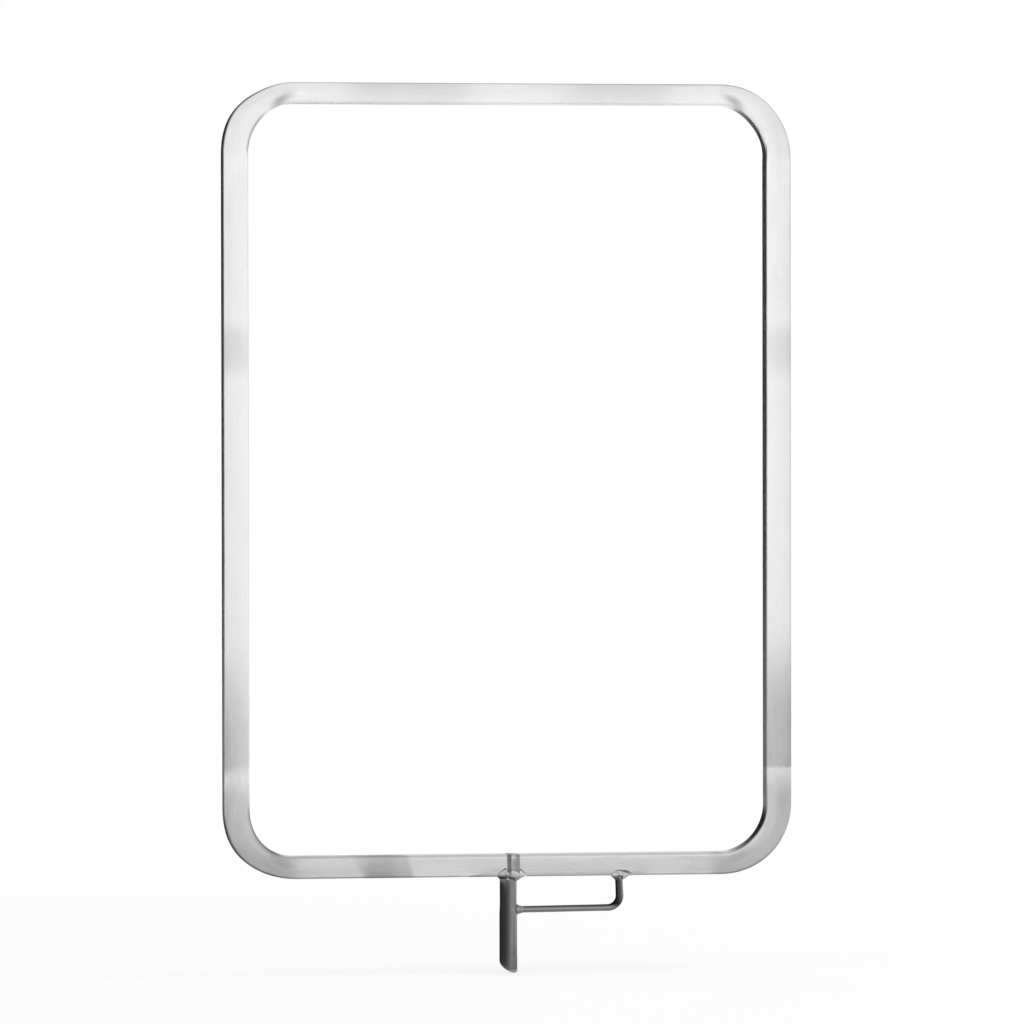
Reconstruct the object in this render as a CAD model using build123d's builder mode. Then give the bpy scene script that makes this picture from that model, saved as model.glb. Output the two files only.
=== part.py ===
from build123d import *
from build123d.topology import SkipClean
import os
from math import sqrt

# Welded flag frame: a bent square-tube loop, a round mounting pin and a thin brace rod.
# Millimetres. +X is to the right, +Y to the back and +Z up.
# The origin is on the pin's axis, halfway down the pin's free end.

# Square tube of the loop
tube_size = 12.7
tube_wall = 1.2
tube_corner_radius = 1.6
tube_bore_radius = 0.5
frame_width = 304.8
frame_height = 422.0
bend_radius = 31.75

# Butt weld between the tube's two ends, a little to the right of the pin
seam_offset = 1.9
seam_root_opening = 0.8
seam_bead_width = 7.4
seam_bead_height = 0.5
seam_bead_bevel = 0.4

# Mounting pin, with its slanted lower end
pin_diameter = 9.525
pin_neck_diameter = 9.1
pin_neck_length = 15.0
pin_taper_length = 6.0
pin_mean_length = 48.3
pin_cut_angle = 35.4
pin_cut_turn = -50.7
pin_edge_break = 0.35
origin_below_tube = 36.0

# Brace rod, whose leg leans and whose run rises slightly
brace_diameter = 3.7
brace_reach = 59.5
brace_drop = 17.9
brace_rise = 0.5
brace_lean = 0.9
brace_bend_radius = 6.5

# Fillet weld round the pin's top
pin_weld_offset = 1.4
pin_weld_half_width = 7.8
pin_weld_rise = 3.3
pin_weld_drop = 2.2
pin_weld_toe = 0.25

# Fillet weld round the top of the brace's leg
leg_weld_offset = 0.7
leg_weld_half_width = 5.4
leg_weld_rise = 2.7
leg_weld_drop = 1.8
leg_weld_toe = 0.2

# Weld between the brace and the pin's side
side_weld_length = 3.6
side_weld_root_radius = 2.6
side_weld_toe = 0.1

# Heights and radii that the pieces share
underside_z = origin_below_tube
tube_axis_z = underside_z + tube_size / 2
top_axis_z = underside_z + frame_height - tube_size / 2
half_tube = tube_size / 2
tube_bore = tube_size - 2 * tube_wall
half_span = frame_width / 2 - half_tube
pin_radius = pin_diameter / 2
neck_radius = pin_neck_diameter / 2
brace_radius = brace_diameter / 2
brace_z = underside_z - brace_drop


def fillet_weld(centre_x, half_width, rise, drop, stem_x, stem_radius):
    """A weld under the tube: a skirt down to a round stem, and a low mound up both faces."""
    bulge_radius = sqrt(half_tube**2 + rise**2)
    tip_left = (centre_x - half_width, underside_z + half_tube)
    tip_right = (centre_x + half_width, underside_z + half_tube)
    crown = (centre_x, underside_z + bulge_radius)
    with BuildPart() as weld:
        with BuildSketch(Plane.XZ):
            with BuildLine():
                ThreePointArc(tip_left, crown, tip_right)
                Polyline(
                    tip_right,
                    (tip_right[0], underside_z),
                    (tip_left[0], underside_z),
                    tip_left,
                )
            make_face()
        revolve(axis=Axis((centre_x, 0, underside_z), (1, 0, 0)))
        split(bisect_by=Plane.XY.offset(underside_z), keep=Keep.TOP)
        with BuildSketch(Plane.YZ.offset(centre_x)):
            with Locations((0, tube_axis_z)):
                RectangleRounded(tube_size, tube_size, tube_corner_radius)
        extrude(amount=2 * half_width, both=True, mode=Mode.SUBTRACT)
        with BuildSketch(Plane.XY.offset(underside_z)):
            with Locations((centre_x, 0)):
                Ellipse(half_width, bulge_radius)
        with BuildSketch(Plane.XY.offset(underside_z - drop)):
            with Locations((stem_x, 0)):
                Circle(stem_radius)
        loft()
    return weld.part


# Frame tube: one hollow square tube, bent at four corners, with its ends at the seam
# Each straight run and each bend keeps its own faces, so that a flat run is one face
with BuildPart() as frame_tube, SkipClean():
    with BuildLine(Plane.XZ) as tube_path:
        FilletPolyline(
            (seam_offset + seam_root_opening / 2, tube_axis_z),
            (half_span, tube_axis_z),
            (half_span, top_axis_z),
            (-half_span, top_axis_z),
            (-half_span, tube_axis_z),
            (seam_offset - seam_root_opening / 2, tube_axis_z),
            radius=bend_radius,
        )
    tube_end = Plane(origin=tube_path.line @ 0, x_dir=(0, 1, 0), z_dir=tube_path.line % 0)
    with BuildSketch(tube_end):
        RectangleRounded(tube_size, tube_size, tube_corner_radius)
    sweep(path=tube_path.line, clean=False)
    with BuildSketch(tube_end):
        RectangleRounded(tube_bore, tube_bore, tube_bore_radius)
    sweep(path=tube_path.line, mode=Mode.SUBTRACT, clean=False)

# Seam weld: fills the root opening and stands proud of the front, back and inner faces
with BuildPart() as frame_seam_weld:
    with BuildSketch(Plane.YZ.offset(seam_offset)):
        with Locations((0, tube_axis_z)):
            RectangleRounded(
                tube_size + 2 * seam_bead_height,
                tube_size + 2 * seam_bead_height,
                tube_corner_radius + seam_bead_height,
            )
    extrude(amount=seam_bead_width / 2, both=True)
    chamfer(
        faces().group_by(Axis.X)[0].edges() + faces().group_by(Axis.X)[-1].edges(),
        length=seam_bead_bevel,
    )
    split(bisect_by=Plane.XY.offset(underside_z), keep=Keep.TOP)
    with BuildSketch(Plane.YZ.offset(seam_offset)):
        with Locations((0, tube_axis_z)):
            RectangleRounded(tube_bore, tube_bore, tube_bore_radius)
    extrude(amount=seam_bead_width, both=True, mode=Mode.SUBTRACT)
    add(frame_tube.part, mode=Mode.SUBTRACT)

# Mounting pin: slimmer neck, short taper, free end and slanted cut
neck_end_z = underside_z - pin_neck_length
free_end_z = neck_end_z - pin_taper_length
cut_centre_z = underside_z - pin_mean_length
with BuildPart() as mounting_pin:
    with BuildSketch(Plane.XZ):
        with BuildLine():
            Polyline(
                (0, underside_z),
                (neck_radius, underside_z),
                (neck_radius, neck_end_z),
                (pin_radius, free_end_z),
                (pin_radius, cut_centre_z - pin_diameter),
                (0, cut_centre_z - pin_diameter),
                close=True,
            )
        make_face()
    revolve(axis=Axis.Z)
    cut_normal = Vector(0, 0, 1).rotate(Axis.Y, pin_cut_angle).rotate(Axis.Z, pin_cut_turn)
    split(bisect_by=Plane(origin=(0, 0, cut_centre_z), z_dir=cut_normal), keep=Keep.TOP)
    chamfer(faces().sort_by(Axis.Z)[0].edges(), length=pin_edge_break)

# Brace rod: from the pin's side to the right, round one bend and up to the tube
with BuildPart() as brace_rod:
    with BuildLine(Plane.XZ) as brace_path:
        FilletPolyline(
            (0, brace_z),
            (brace_reach + brace_lean, brace_z + brace_rise),
            (brace_reach, underside_z + half_tube),
            radius=brace_bend_radius,
        )
    with BuildSketch(Plane(origin=brace_path.line @ 0, z_dir=brace_path.line % 0)):
        Circle(brace_radius)
    sweep()
    split(bisect_by=Plane.XY.offset(underside_z), keep=Keep.BOTTOM)
    add(mounting_pin.part, mode=Mode.SUBTRACT)

# Pin weld: hugs the pin's neck and climbs onto the tube beside the seam bead
pin_weld_form = fillet_weld(
    pin_weld_offset,
    pin_weld_half_width,
    pin_weld_rise,
    pin_weld_drop,
    0,
    neck_radius + pin_weld_toe,
)
with BuildPart() as pin_weld:
    add(pin_weld_form)
    add(mounting_pin.part, mode=Mode.SUBTRACT)
    add(frame_seam_weld.part, mode=Mode.SUBTRACT)

# Weld round the top of the brace's leg
leg_weld_form = fillet_weld(
    brace_reach + leg_weld_offset,
    leg_weld_half_width,
    leg_weld_rise,
    leg_weld_drop,
    brace_reach,
    brace_radius + leg_weld_toe,
)
with BuildPart() as brace_frame_weld:
    add(leg_weld_form)
    add(brace_rod.part, mode=Mode.SUBTRACT)

# Weld between the brace's end and the pin's side
with BuildPart() as brace_pin_weld:
    with BuildSketch(Plane.XZ):
        with BuildLine():
            Polyline(
                (0, brace_z),
                (0, brace_z + side_weld_root_radius),
                (neck_radius, brace_z + side_weld_root_radius),
                (neck_radius + side_weld_length, brace_z + brace_radius + side_weld_toe),
                (neck_radius + side_weld_length, brace_z),
                close=True,
            )
        make_face()
    revolve(axis=Axis((0, 0, brace_z), (1, 0, 0)))
    add(mounting_pin.part, mode=Mode.SUBTRACT)
    add(brace_rod.part, mode=Mode.SUBTRACT)

# Label every piece and write it out
os.makedirs("parts", exist_ok=True)
pieces = {
    "frame_tube": frame_tube.part,
    "frame_seam_weld": frame_seam_weld.part,
    "mounting_pin": mounting_pin.part,
    "brace_rod": brace_rod.part,
    "pin_weld": pin_weld.part,
    "brace_frame_weld": brace_frame_weld.part,
    "brace_pin_weld": brace_pin_weld.part,
}
for name, piece in pieces.items():
    piece.label = name
    export_step(piece, f"parts/{name}.step")
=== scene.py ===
import math

import bmesh
import bpy
from mathutils import Matrix, Vector, noise


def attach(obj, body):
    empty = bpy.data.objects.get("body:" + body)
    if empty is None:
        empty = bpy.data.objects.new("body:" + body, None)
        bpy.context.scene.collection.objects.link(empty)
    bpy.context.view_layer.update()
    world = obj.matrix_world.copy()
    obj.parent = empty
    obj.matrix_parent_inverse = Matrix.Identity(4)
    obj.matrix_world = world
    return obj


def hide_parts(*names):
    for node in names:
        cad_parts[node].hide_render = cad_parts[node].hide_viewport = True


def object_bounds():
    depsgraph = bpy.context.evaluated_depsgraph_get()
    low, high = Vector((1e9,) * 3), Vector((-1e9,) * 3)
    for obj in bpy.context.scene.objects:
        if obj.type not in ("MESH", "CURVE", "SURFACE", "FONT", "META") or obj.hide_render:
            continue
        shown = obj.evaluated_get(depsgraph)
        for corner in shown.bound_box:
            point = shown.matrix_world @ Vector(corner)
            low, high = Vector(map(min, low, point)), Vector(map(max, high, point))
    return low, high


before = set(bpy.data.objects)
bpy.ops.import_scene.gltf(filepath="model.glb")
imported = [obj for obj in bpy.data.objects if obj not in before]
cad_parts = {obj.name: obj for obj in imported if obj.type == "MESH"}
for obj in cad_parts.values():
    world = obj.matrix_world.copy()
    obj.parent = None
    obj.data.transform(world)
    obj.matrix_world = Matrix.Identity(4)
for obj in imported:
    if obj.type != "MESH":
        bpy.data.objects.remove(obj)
cad_low, cad_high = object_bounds()

MM = 0.001
QUARTER = math.pi / 2
FULL_TURN = 2 * math.pi

# Tube loop, in millimetres
TUBE_HALF = 6.35
CORNER_RADIUS = 1.6
OUTER_CORNER_RADIUS = 1.3
HALF_SPAN = 146.05
BOTTOM_Z = 42.35
TOP_Z = 451.65
UNDERSIDE_Z = BOTTOM_Z - TUBE_HALF
BEND_RADIUS = 31.75
SEAM_X = 1.9
SEAM_GAP = 0.8

# Straight runs and bends, in millimetres of tube from the seam round by the right side
BEND_LENGTH = BEND_RADIUS * QUARTER
BEND_INSET = HALF_SPAN - BEND_RADIUS
RUN_BOTTOM_RIGHT = BEND_INSET - SEAM_X - SEAM_GAP / 2
RUN_SIDE = TOP_Z - BOTTOM_Z - 2 * BEND_RADIUS
RUN_TOP = 2 * BEND_INSET
RUN_BOTTOM_LEFT = BEND_INSET + SEAM_X - SEAM_GAP / 2
RUNS = (RUN_BOTTOM_RIGHT, RUN_SIDE, RUN_TOP, RUN_SIDE, RUN_BOTTOM_LEFT)
LOW_RIGHT_BEND = RUN_BOTTOM_RIGHT
RIGHT_START = LOW_RIGHT_BEND + BEND_LENGTH
HIGH_RIGHT_BEND = RIGHT_START + RUN_SIDE
TOP_START = HIGH_RIGHT_BEND + BEND_LENGTH
HIGH_LEFT_BEND = TOP_START + RUN_TOP
LEFT_START = HIGH_LEFT_BEND + BEND_LENGTH
LOW_LEFT_BEND = LEFT_START + RUN_SIDE
BOTTOM_LEFT_START = LOW_LEFT_BEND + BEND_LENGTH
RUN_STARTS = (0.0, RIGHT_START, TOP_START, LEFT_START, BOTTOM_LEFT_START)
BEND_STARTS = (LOW_RIGHT_BEND, HIGH_RIGHT_BEND, HIGH_LEFT_BEND, LOW_LEFT_BEND)
BEND_CENTRES = ((BEND_INSET, BOTTOM_Z + BEND_RADIUS), (BEND_INSET, TOP_Z - BEND_RADIUS),
                (-BEND_INSET, TOP_Z - BEND_RADIUS), (-BEND_INSET, BOTTOM_Z + BEND_RADIUS))

# Section of the tube: one flat, one corner arc, the whole way round, and the distance from
# the middle of the inner wall to the middle of the front face
FLAT = 2 * (TUBE_HALF - CORNER_RADIUS)
ARC = CORNER_RADIUS * QUARTER
AROUND = 4 * (FLAT + ARC)
MID_FACE = FLAT + ARC
INNER_EDGE = 7.25
OUTER_EDGE = 16.8

# Pin and brace, in millimetres
PIN_RADIUS = 4.7625
PIN_NECK_RADIUS = 4.55
PIN_NECK_END = 21.0
PIN_TAPER_END = 15.0
PIN_CUT_Z = -12.3
PIN_CUT_NORMAL = Vector((0.3669, -0.4483, 0.8151)).normalized()
PIN_EDGE = 0.45
ROD_RADIUS = 1.77
BRACE_BEND = 6.5
BRACE_RUN_Z = 18.1
BRACE_CORNER = Vector((60.4, 0.0, 18.6))
BRACE_TOP = Vector((59.5, 0.0, 37.0))


# Shapes and meshes

def smooth_step(low, high, value):
    t = min(1.0, max(0.0, (value - low) / (high - low)))
    return t * t * (3 - 2 * t)


def bell(value, middle, width):
    """1 at the middle and falling off on both sides."""
    return math.exp(-((value - middle) / width) ** 2)


def around(count):
    """Directions spread evenly round the upright axis."""
    angles = [FULL_TURN * i / count for i in range(count)]
    return [Vector((math.cos(angle), math.sin(angle), 0.0)) for angle in angles]


def bridge(bm, first, second):
    """Faces between two closed rings of vertices."""
    count = len(first)
    return [bm.faces.new((first[i], first[(i + 1) % count], second[(i + 1) % count], second[i]))
            for i in range(count)]


def skin(bm, rings):
    """Faces along a row of closed rings, with both ends closed."""
    for first, second in zip(rings, rings[1:]):
        bridge(bm, first, second)
    bm.faces.new(rings[0])
    bm.faces.new(rings[-1])


def finish_piece(name, bm, materials, slot, *nodes):
    """A new object that rides on the root body and stands for the CAD nodes."""
    bmesh.ops.recalc_face_normals(bm, faces=bm.faces[:])
    for face in bm.faces:
        face.smooth = True
    mesh = bpy.data.meshes.new(name)
    bm.to_mesh(mesh)
    bm.free()
    for material in materials:
        mesh.materials.append(material)
    piece = bpy.data.objects.new(name, mesh)
    bpy.context.scene.collection.objects.link(piece)
    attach(piece, "root")
    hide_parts(*nodes)


# Shader building blocks

def put(owner, key, value):
    """Links a socket to an input or sets the input's own value."""
    target = owner.inputs[key]
    if isinstance(value, bpy.types.NodeSocket):
        owner.id_data.links.new(value, target)
    else:
        target.default_value = value


def steel_material(name, base, roughness):
    material = bpy.data.materials.new(name)
    material.use_nodes = True
    shader = material.node_tree.nodes["Principled BSDF"]
    put(shader, "Metallic", 1.0)
    put(shader, "Base Color", (base, base, base, 1.0))
    put(shader, "Roughness", roughness)
    return material, material.node_tree, shader


def arithmetic(tree, operation, first, second=0.0, clamp=False):
    made = tree.nodes.new("ShaderNodeMath")
    made.operation = operation
    made.use_clamp = clamp
    put(made, 0, first)
    put(made, 1, second)
    return made.outputs[0]


def plus(tree, first, second, clamp=False):
    return arithmetic(tree, "ADD", first, second, clamp)


def minus(tree, first, second, clamp=False):
    return arithmetic(tree, "SUBTRACT", first, second, clamp)


def times(tree, first, second, clamp=False):
    return arithmetic(tree, "MULTIPLY", first, second, clamp)


def over(tree, first, second):
    return arithmetic(tree, "DIVIDE", first, second)


def power(tree, first, second):
    return arithmetic(tree, "POWER", first, second)


def apart(tree, first, second):
    return arithmetic(tree, "ABSOLUTE", minus(tree, first, second))


def total(tree, values):
    result = values[0]
    for value in values[1:]:
        result = plus(tree, result, value)
    return result


def remap(tree, value, low, high, to_low=0.0, to_high=1.0, soft=False):
    made = tree.nodes.new("ShaderNodeMapRange")
    made.interpolation_type = "SMOOTHSTEP" if soft else "LINEAR"
    for key, number in (("Value", value), ("From Min", low), ("From Max", high),
                        ("To Min", to_low), ("To Max", to_high)):
        put(made, key, number)
    return made.outputs[0]


def noise_value(tree, vector, scale, detail=2.0, roughness=0.5, distortion=0.0):
    made = tree.nodes.new("ShaderNodeTexNoise")
    for key, value in (("Vector", vector), ("Scale", scale), ("Detail", detail),
                       ("Roughness", roughness), ("Distortion", distortion)):
        put(made, key, value)
    return made.outputs["Fac"]


def drawn_noise(tree, vector, repeats, detail, roughness=0.5, distortion=0.0):
    """Noise with its own number of repeats per metre on each axis."""
    made = tree.nodes.new("ShaderNodeMapping")
    put(made, "Vector", vector)
    put(made, "Scale", repeats)
    return noise_value(tree, made.outputs[0], 1.0, detail, roughness, distortion)


def split_axes(tree, vector):
    made = tree.nodes.new("ShaderNodeSeparateXYZ")
    put(made, 0, vector)
    return made.outputs


def object_place(tree):
    return tree.nodes.new("ShaderNodeTexCoord").outputs["Object"]


def grey(tree, value):
    made = tree.nodes.new("ShaderNodeCombineColor")
    for key in ("Red", "Green", "Blue"):
        put(made, key, value)
    return made.outputs[0]


def relief(tree, *layers):
    """Bump layers laid over each other: height, distance in metres, strength."""
    normal = None
    for height, distance, strength in layers:
        made = tree.nodes.new("ShaderNodeBump")
        put(made, "Height", height)
        put(made, "Distance", distance)
        put(made, "Strength", strength)
        if normal is not None:
            put(made, "Normal", normal)
        normal = made.outputs[0]
    return normal


def surface(tree, shader, value, roughness, normal):
    put(shader, "Base Color", grey(tree, value))
    put(shader, "Roughness", roughness)
    put(shader, "Normal", normal)


# Tube material

def right_at(z):
    return RIGHT_START + z - (BOTTOM_Z + BEND_RADIUS)


def left_at(z):
    return LEFT_START + (TOP_Z - BEND_RADIUS) - z


def top_at(x):
    return TOP_START + BEND_INSET - x


def bottom_left_at(x):
    return BOTTOM_LEFT_START + x + BEND_INSET


# Rougher bands of painted shade along the tube, in place of dark reflections: start and end in
# millimetres from the seam, edge softness at each, depth, share left at the inner edge, slant
# across the tube
SHADE_BANDS = (
    (right_at(94.2), right_at(118.0), 2.4, 58.0, 0.31, 0.9, 0.0),
    (right_at(313.0), right_at(320.0), 16.0, 14.0, 0.13, 0.6, 0.0),
    (left_at(108.0), left_at(98.0), 60.0, 7.5, 0.29, 0.4, 0.35),
    (left_at(322.0), left_at(313.0), 12.0, 14.0, 0.15, 0.6, 0.0),
    (top_at(77.0), top_at(45.0), 21.0, 27.0, 0.14, 0.6, 0.0),
    (top_at(-40.0), top_at(-72.0), 37.0, 24.0, 0.14, 0.6, 0.0),
    (bottom_left_at(-78.0), bottom_left_at(-55.0), 6.0, 4.0, 0.27, 0.7, 0.3),
    (bottom_left_at(-74.0), bottom_left_at(-67.0), 6.0, 12.0, 0.13, 0.7, 0.0),
    (BOTTOM_LEFT_START - 26.0, BOTTOM_LEFT_START - 7.0, 12.0, 10.0, 0.06, 0.9, 0.0),
    (bottom_left_at(-108.0), bottom_left_at(-84.0), 10.0, 6.0, 0.10, 0.8, 0.0),
    (BOTTOM_LEFT_START, BOTTOM_LEFT_START + RUN_BOTTOM_LEFT, 30.0, 30.0, 0.025, 1.0, 0.0),
    (LOW_RIGHT_BEND, right_at(77.0), 10.0, 18.0, 0.24, 0.85, 0.0),
    (left_at(77.0), BOTTOM_LEFT_START - 5.0, 14.0, 12.0, 0.27, 0.85, 0.0),
    (right_at(424.0), TOP_START - 4.0, 8.0, 8.0, 0.04, 0.6, 0.0),
    (HIGH_LEFT_BEND + 4.0, left_at(424.0), 8.0, 8.0, 0.04, 0.6, 0.0),
)

# Rub marks beside the inner edge where the bends begin: place along, slant, length, depth
BEND_RUBS = (
    (LOW_RIGHT_BEND + 11.0, -0.25, 8.5, 0.12),
    (TOP_START - 8.5, 0.35, 6.5, 0.35),
    (HIGH_LEFT_BEND + 8.0, -0.35, 6.5, 0.38),
    (BOTTOM_LEFT_START - 11.0, 0.25, 8.5, 0.13),
)
RUB_LINE = 8.4
RUB_WIDTH = 2.6
RUB_REACH = 1.7

# Painted shade on the walls, in place of dark reflections: start, end, softness, then where
# across the section the shade is full and where it has ended, and its depth. Inside and outside
# the bends, on the upward wall of the bottom runs, and on the outer wall along the right side
WALL_SHADES = (
    (LOW_RIGHT_BEND + 12.0, LOW_RIGHT_BEND + 38.0, 10.0, 4.9, 6.5, 0.58),
    (HIGH_RIGHT_BEND + 14.0, HIGH_RIGHT_BEND + 33.0, 10.0, 4.9, 6.5, 0.62),
    (HIGH_LEFT_BEND + 26.0, HIGH_LEFT_BEND + 44.0, 9.0, 5.6, 7.4, 0.5),
    (LOW_LEFT_BEND + 5.0, LOW_LEFT_BEND + 34.0, 9.0, 5.6, 7.4, 0.42),
    (HIGH_LEFT_BEND + 18.0, HIGH_LEFT_BEND + 36.0, 14.0, 18.1, 16.7, 0.52),
    (LOW_LEFT_BEND + 12.0, LOW_LEFT_BEND + 36.0, 14.0, 18.1, 16.7, 0.40),
    (SEAM_X, RUN_BOTTOM_RIGHT - 4.0, 8.0, 4.9, 6.5, 0.30),
    (BOTTOM_LEFT_START + 4.0, BOTTOM_LEFT_START + RUN_BOTTOM_LEFT, 8.0, 4.9, 6.5, 0.30),
    (LOW_RIGHT_BEND + 5.0, TOP_START + 20.0, 20.0, 18.4, 16.4, 0.18),
)

# Repeats of the tube's surface noise per metre along it and round it
WOBBLE_REPEATS = (60, 420, 1)
STREAK_REPEATS = (14, 900, 1)
GRAIN_REPEATS = (60, 6500, 1)
CLOUD_REPEATS = (42, 150, 1)
WORN_REPEATS = (110, 300, 1)
SCRATCH_REPEATS = (300, 45, 1)
SMEAR_REPEATS = (30, 120, 1)

# Ragged ends of the painted shade bands, in metres, and how far smears run past a bend, in
# millimetres
WOBBLE = 0.0012
SMEAR_PAST = 10.0
SMEAR_SOFT = 16.0
NICK_WIDTH = 0.004
EDGE_LINE = 6.0
EDGE_WIDTH = 1.1


def band(tree, along, start, end, soft_start, soft_end, depth):
    up = remap(tree, along, (start - soft_start) * MM, start * MM, 0.0, depth, soft=True)
    down = remap(tree, along, end * MM, (end + soft_end) * MM, 1.0, 0.0, soft=True)
    return times(tree, up, down)


def shade_band(tree, along, across, start, end, soft_start, soft_end, depth, inner, slant):
    """A length of tube under painted shade, rougher there too, weaker toward the inner edge."""
    lean = times(tree, minus(tree, across, MID_FACE * MM), slant)
    painted_band = band(tree, minus(tree, along, lean), start, end, soft_start, soft_end, depth)
    return times(tree, painted_band, remap(tree, across, INNER_EDGE * MM, OUTER_EDGE * MM, inner, 1.0))


def rub_spot(tree, along, across, centre, slant, length, depth):
    """A soft dark spot on the front and back faces beside the inner corner."""
    offset = minus(tree, along, centre * MM)
    side = minus(tree, minus(tree, across, RUB_LINE * MM), times(tree, offset, slant))
    reach = power(tree, over(tree, offset, length * MM), 2.0)
    width = power(tree, over(tree, side, RUB_WIDTH * MM), 2.0)
    distance = power(tree, plus(tree, reach, width), 0.5)
    return remap(tree, distance, 0.0, RUB_REACH, depth, 0.0, soft=True)


def wall_shade(tree, along, across, start, end, soft, full, ended, depth):
    """Painted shade on one wall of the tube over a length of it."""
    length = band(tree, along, start, end, soft, soft, depth)
    return times(tree, length, remap(tree, across, full * MM, ended * MM, 1.0, 0.0, soft=True))


def bend_smears(tree, uv, along):
    """Cloudy smears drawn out along the bends."""
    smears = drawn_noise(tree, uv, SMEAR_REPEATS, 4.0, 0.6, 0.8)
    bends = total(tree, [band(tree, along, start - SMEAR_PAST, start + BEND_LENGTH + SMEAR_PAST,
                              SMEAR_SOFT, SMEAR_SOFT, 1.0) for start in BEND_STARTS])
    return times(tree, remap(tree, smears, 0.3, 0.7, -0.05, 0.05), bends)


def fine_nicks(tree, uv, worn):
    """Hairline handling scratches where the tube is worn."""
    scratch = drawn_noise(tree, uv, SCRATCH_REPEATS, 5.0, 0.75, 1.5)
    line = remap(tree, apart(tree, scratch, 0.5), 0.0, NICK_WIDTH, 1.0, 0.0)
    return times(tree, line, remap(tree, worn, 0.56, 0.66))


def bright_edges(tree, across, worn):
    """Rubbed lines beside the corners of the section, broken where it is less worn."""
    from_line = apart(tree, apart(tree, across, MID_FACE * MM), EDGE_LINE * MM)
    line = remap(tree, from_line, 0.0, EDGE_WIDTH * MM, 1.0, 0.0, soft=True)
    return times(tree, line, remap(tree, worn, 0.35, 0.6, 0.3, 1.0))


def tube_material():
    material, tree, shader = steel_material("satin_tube_steel", 0.86, 0.3)
    uv_map = tree.nodes.new("ShaderNodeUVMap")
    uv_map.uv_map = "along"
    uv = uv_map.outputs[0]
    length, lap = split_axes(tree, uv)[:2]
    across = apart(tree, lap, AROUND / 2 * MM)
    ragged = drawn_noise(tree, uv, WOBBLE_REPEATS, 3.0)
    along = plus(tree, length, remap(tree, ragged, 0.0, 1.0, -WOBBLE, WOBBLE))

    streaks = drawn_noise(tree, uv, STREAK_REPEATS, 4.0, 0.6)
    grain = drawn_noise(tree, uv, GRAIN_REPEATS, 3.0, 0.6)
    clouds = drawn_noise(tree, uv, CLOUD_REPEATS, 5.0, 0.62, 0.4)
    worn = drawn_noise(tree, uv, WORN_REPEATS, 4.0, 0.6)
    nick = fine_nicks(tree, uv, worn)
    edge = bright_edges(tree, across, worn)
    # bands of painted shade, which also make the tube rougher
    shade_bands = total(tree, [shade_band(tree, along, across, *painted_band) for painted_band in SHADE_BANDS])
    shade_bands = times(tree, shade_bands, remap(tree, streaks, 0.2, 0.8, 0.72, 1.28))
    # rub marks, and painted shade on the walls
    rubs_and_painted_shade = total(tree, [rub_spot(tree, length, across, *rub) for rub in BEND_RUBS]
                   + [wall_shade(tree, along, across, *wall_shade_row) for wall_shade_row in WALL_SHADES])

    value = total(tree, [
        # painted shade: lighter toward the inner edge, darker toward the outer edge
        remap(tree, across, INNER_EDGE * MM, OUTER_EDGE * MM, 0.04, -0.04),
        remap(tree, streaks, 0.25, 0.75, 0.835, 0.885),
        remap(tree, clouds, 0.3, 0.7, -0.03, 0.03),
        remap(tree, grain, 0.2, 0.8, -0.02, 0.02),
        times(tree, edge, 0.03),
        bend_smears(tree, uv, along),
        times(tree, nick, -0.08)])
    value = minus(tree, minus(tree, value, shade_bands), rubs_and_painted_shade, clamp=True)
    rough = total(tree, [
        remap(tree, streaks, 0.2, 0.8, 0.25, 0.34),
        remap(tree, clouds, 0.3, 0.7, -0.03, 0.03),
        remap(tree, grain, 0.2, 0.8, -0.03, 0.03),
        times(tree, edge, -0.06),
        times(tree, shade_bands, 0.2)])
    surface(tree, shader, value, rough,
            relief(tree, (grain, 0.00003, 0.5), (streaks, 0.00004, 0.25),
                   (clouds, 0.0004, 0.4), (nick, -0.00006, 0.6)))
    return material


# Bar and weld materials

# Painted shade on the brace leg, darkest on the side toward the pin: share of colour kept on its
# axis, growth per millimetre away from the pin, and the heights between which it sets in
LEG_SHADE_ON_AXIS = 0.27
LEG_SHADE_GROWTH = 2.15
LEG_SHADE_START = 18.4
LEG_SHADE_FULL = 20.6


def leg_painted_shade(tree, place):
    """Share of the bar's colour left on the brace leg under painted shade, darkest on the side
    toward the pin."""
    x, _, z = split_axes(tree, place)
    lean = (BRACE_TOP.x - BRACE_CORNER.x) / (BRACE_TOP.z - BRACE_CORNER.z)
    axis_x = plus(tree, times(tree, z, lean), (BRACE_CORNER.x - lean * BRACE_CORNER.z) * MM)
    side = over(tree, minus(tree, x, axis_x), MM)
    kept = times(tree, power(tree, LEG_SHADE_GROWTH, side), LEG_SHADE_ON_AXIS, clamp=True)
    leg = remap(tree, z, LEG_SHADE_START * MM, LEG_SHADE_FULL * MM, soft=True)
    return minus(tree, 1.0, times(tree, leg, minus(tree, 1.0, kept)))


def bar_material(name, base, roughness, repeats, painted_shade=None):
    """Drawn steel bar: fine drawing lines along the bar, darker patches and handling marks."""
    material, tree, shader = steel_material(name, base, roughness)
    place = object_place(tree)
    lines = drawn_noise(tree, place, repeats, 4.0, 0.65)
    patches = noise_value(tree, place, 180.0, 4.0, 0.55, 0.3)
    specks = noise_value(tree, place, 2600.0)
    value = total(tree, [
        remap(tree, lines, 0.25, 0.75, base * 0.9, base * 1.1),
        remap(tree, patches, 0.3, 0.7, -0.02, 0.02),
        remap(tree, specks, 0.62, 0.75, 0.0, -0.04)])
    # painted shade, where given, darkens the bar's colour
    if painted_shade is not None:
        value = times(tree, value, painted_shade(tree, place))
    rough = plus(tree, remap(tree, lines, 0.2, 0.8, roughness - 0.04, roughness + 0.04),
                 remap(tree, patches, 0.3, 0.7, -0.03, 0.03))
    surface(tree, shader, value, rough,
            relief(tree, (lines, 0.00002, 0.5), (patches, 0.00008, 0.4), (specks, 0.00002, 0.4)))
    return material


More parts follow.
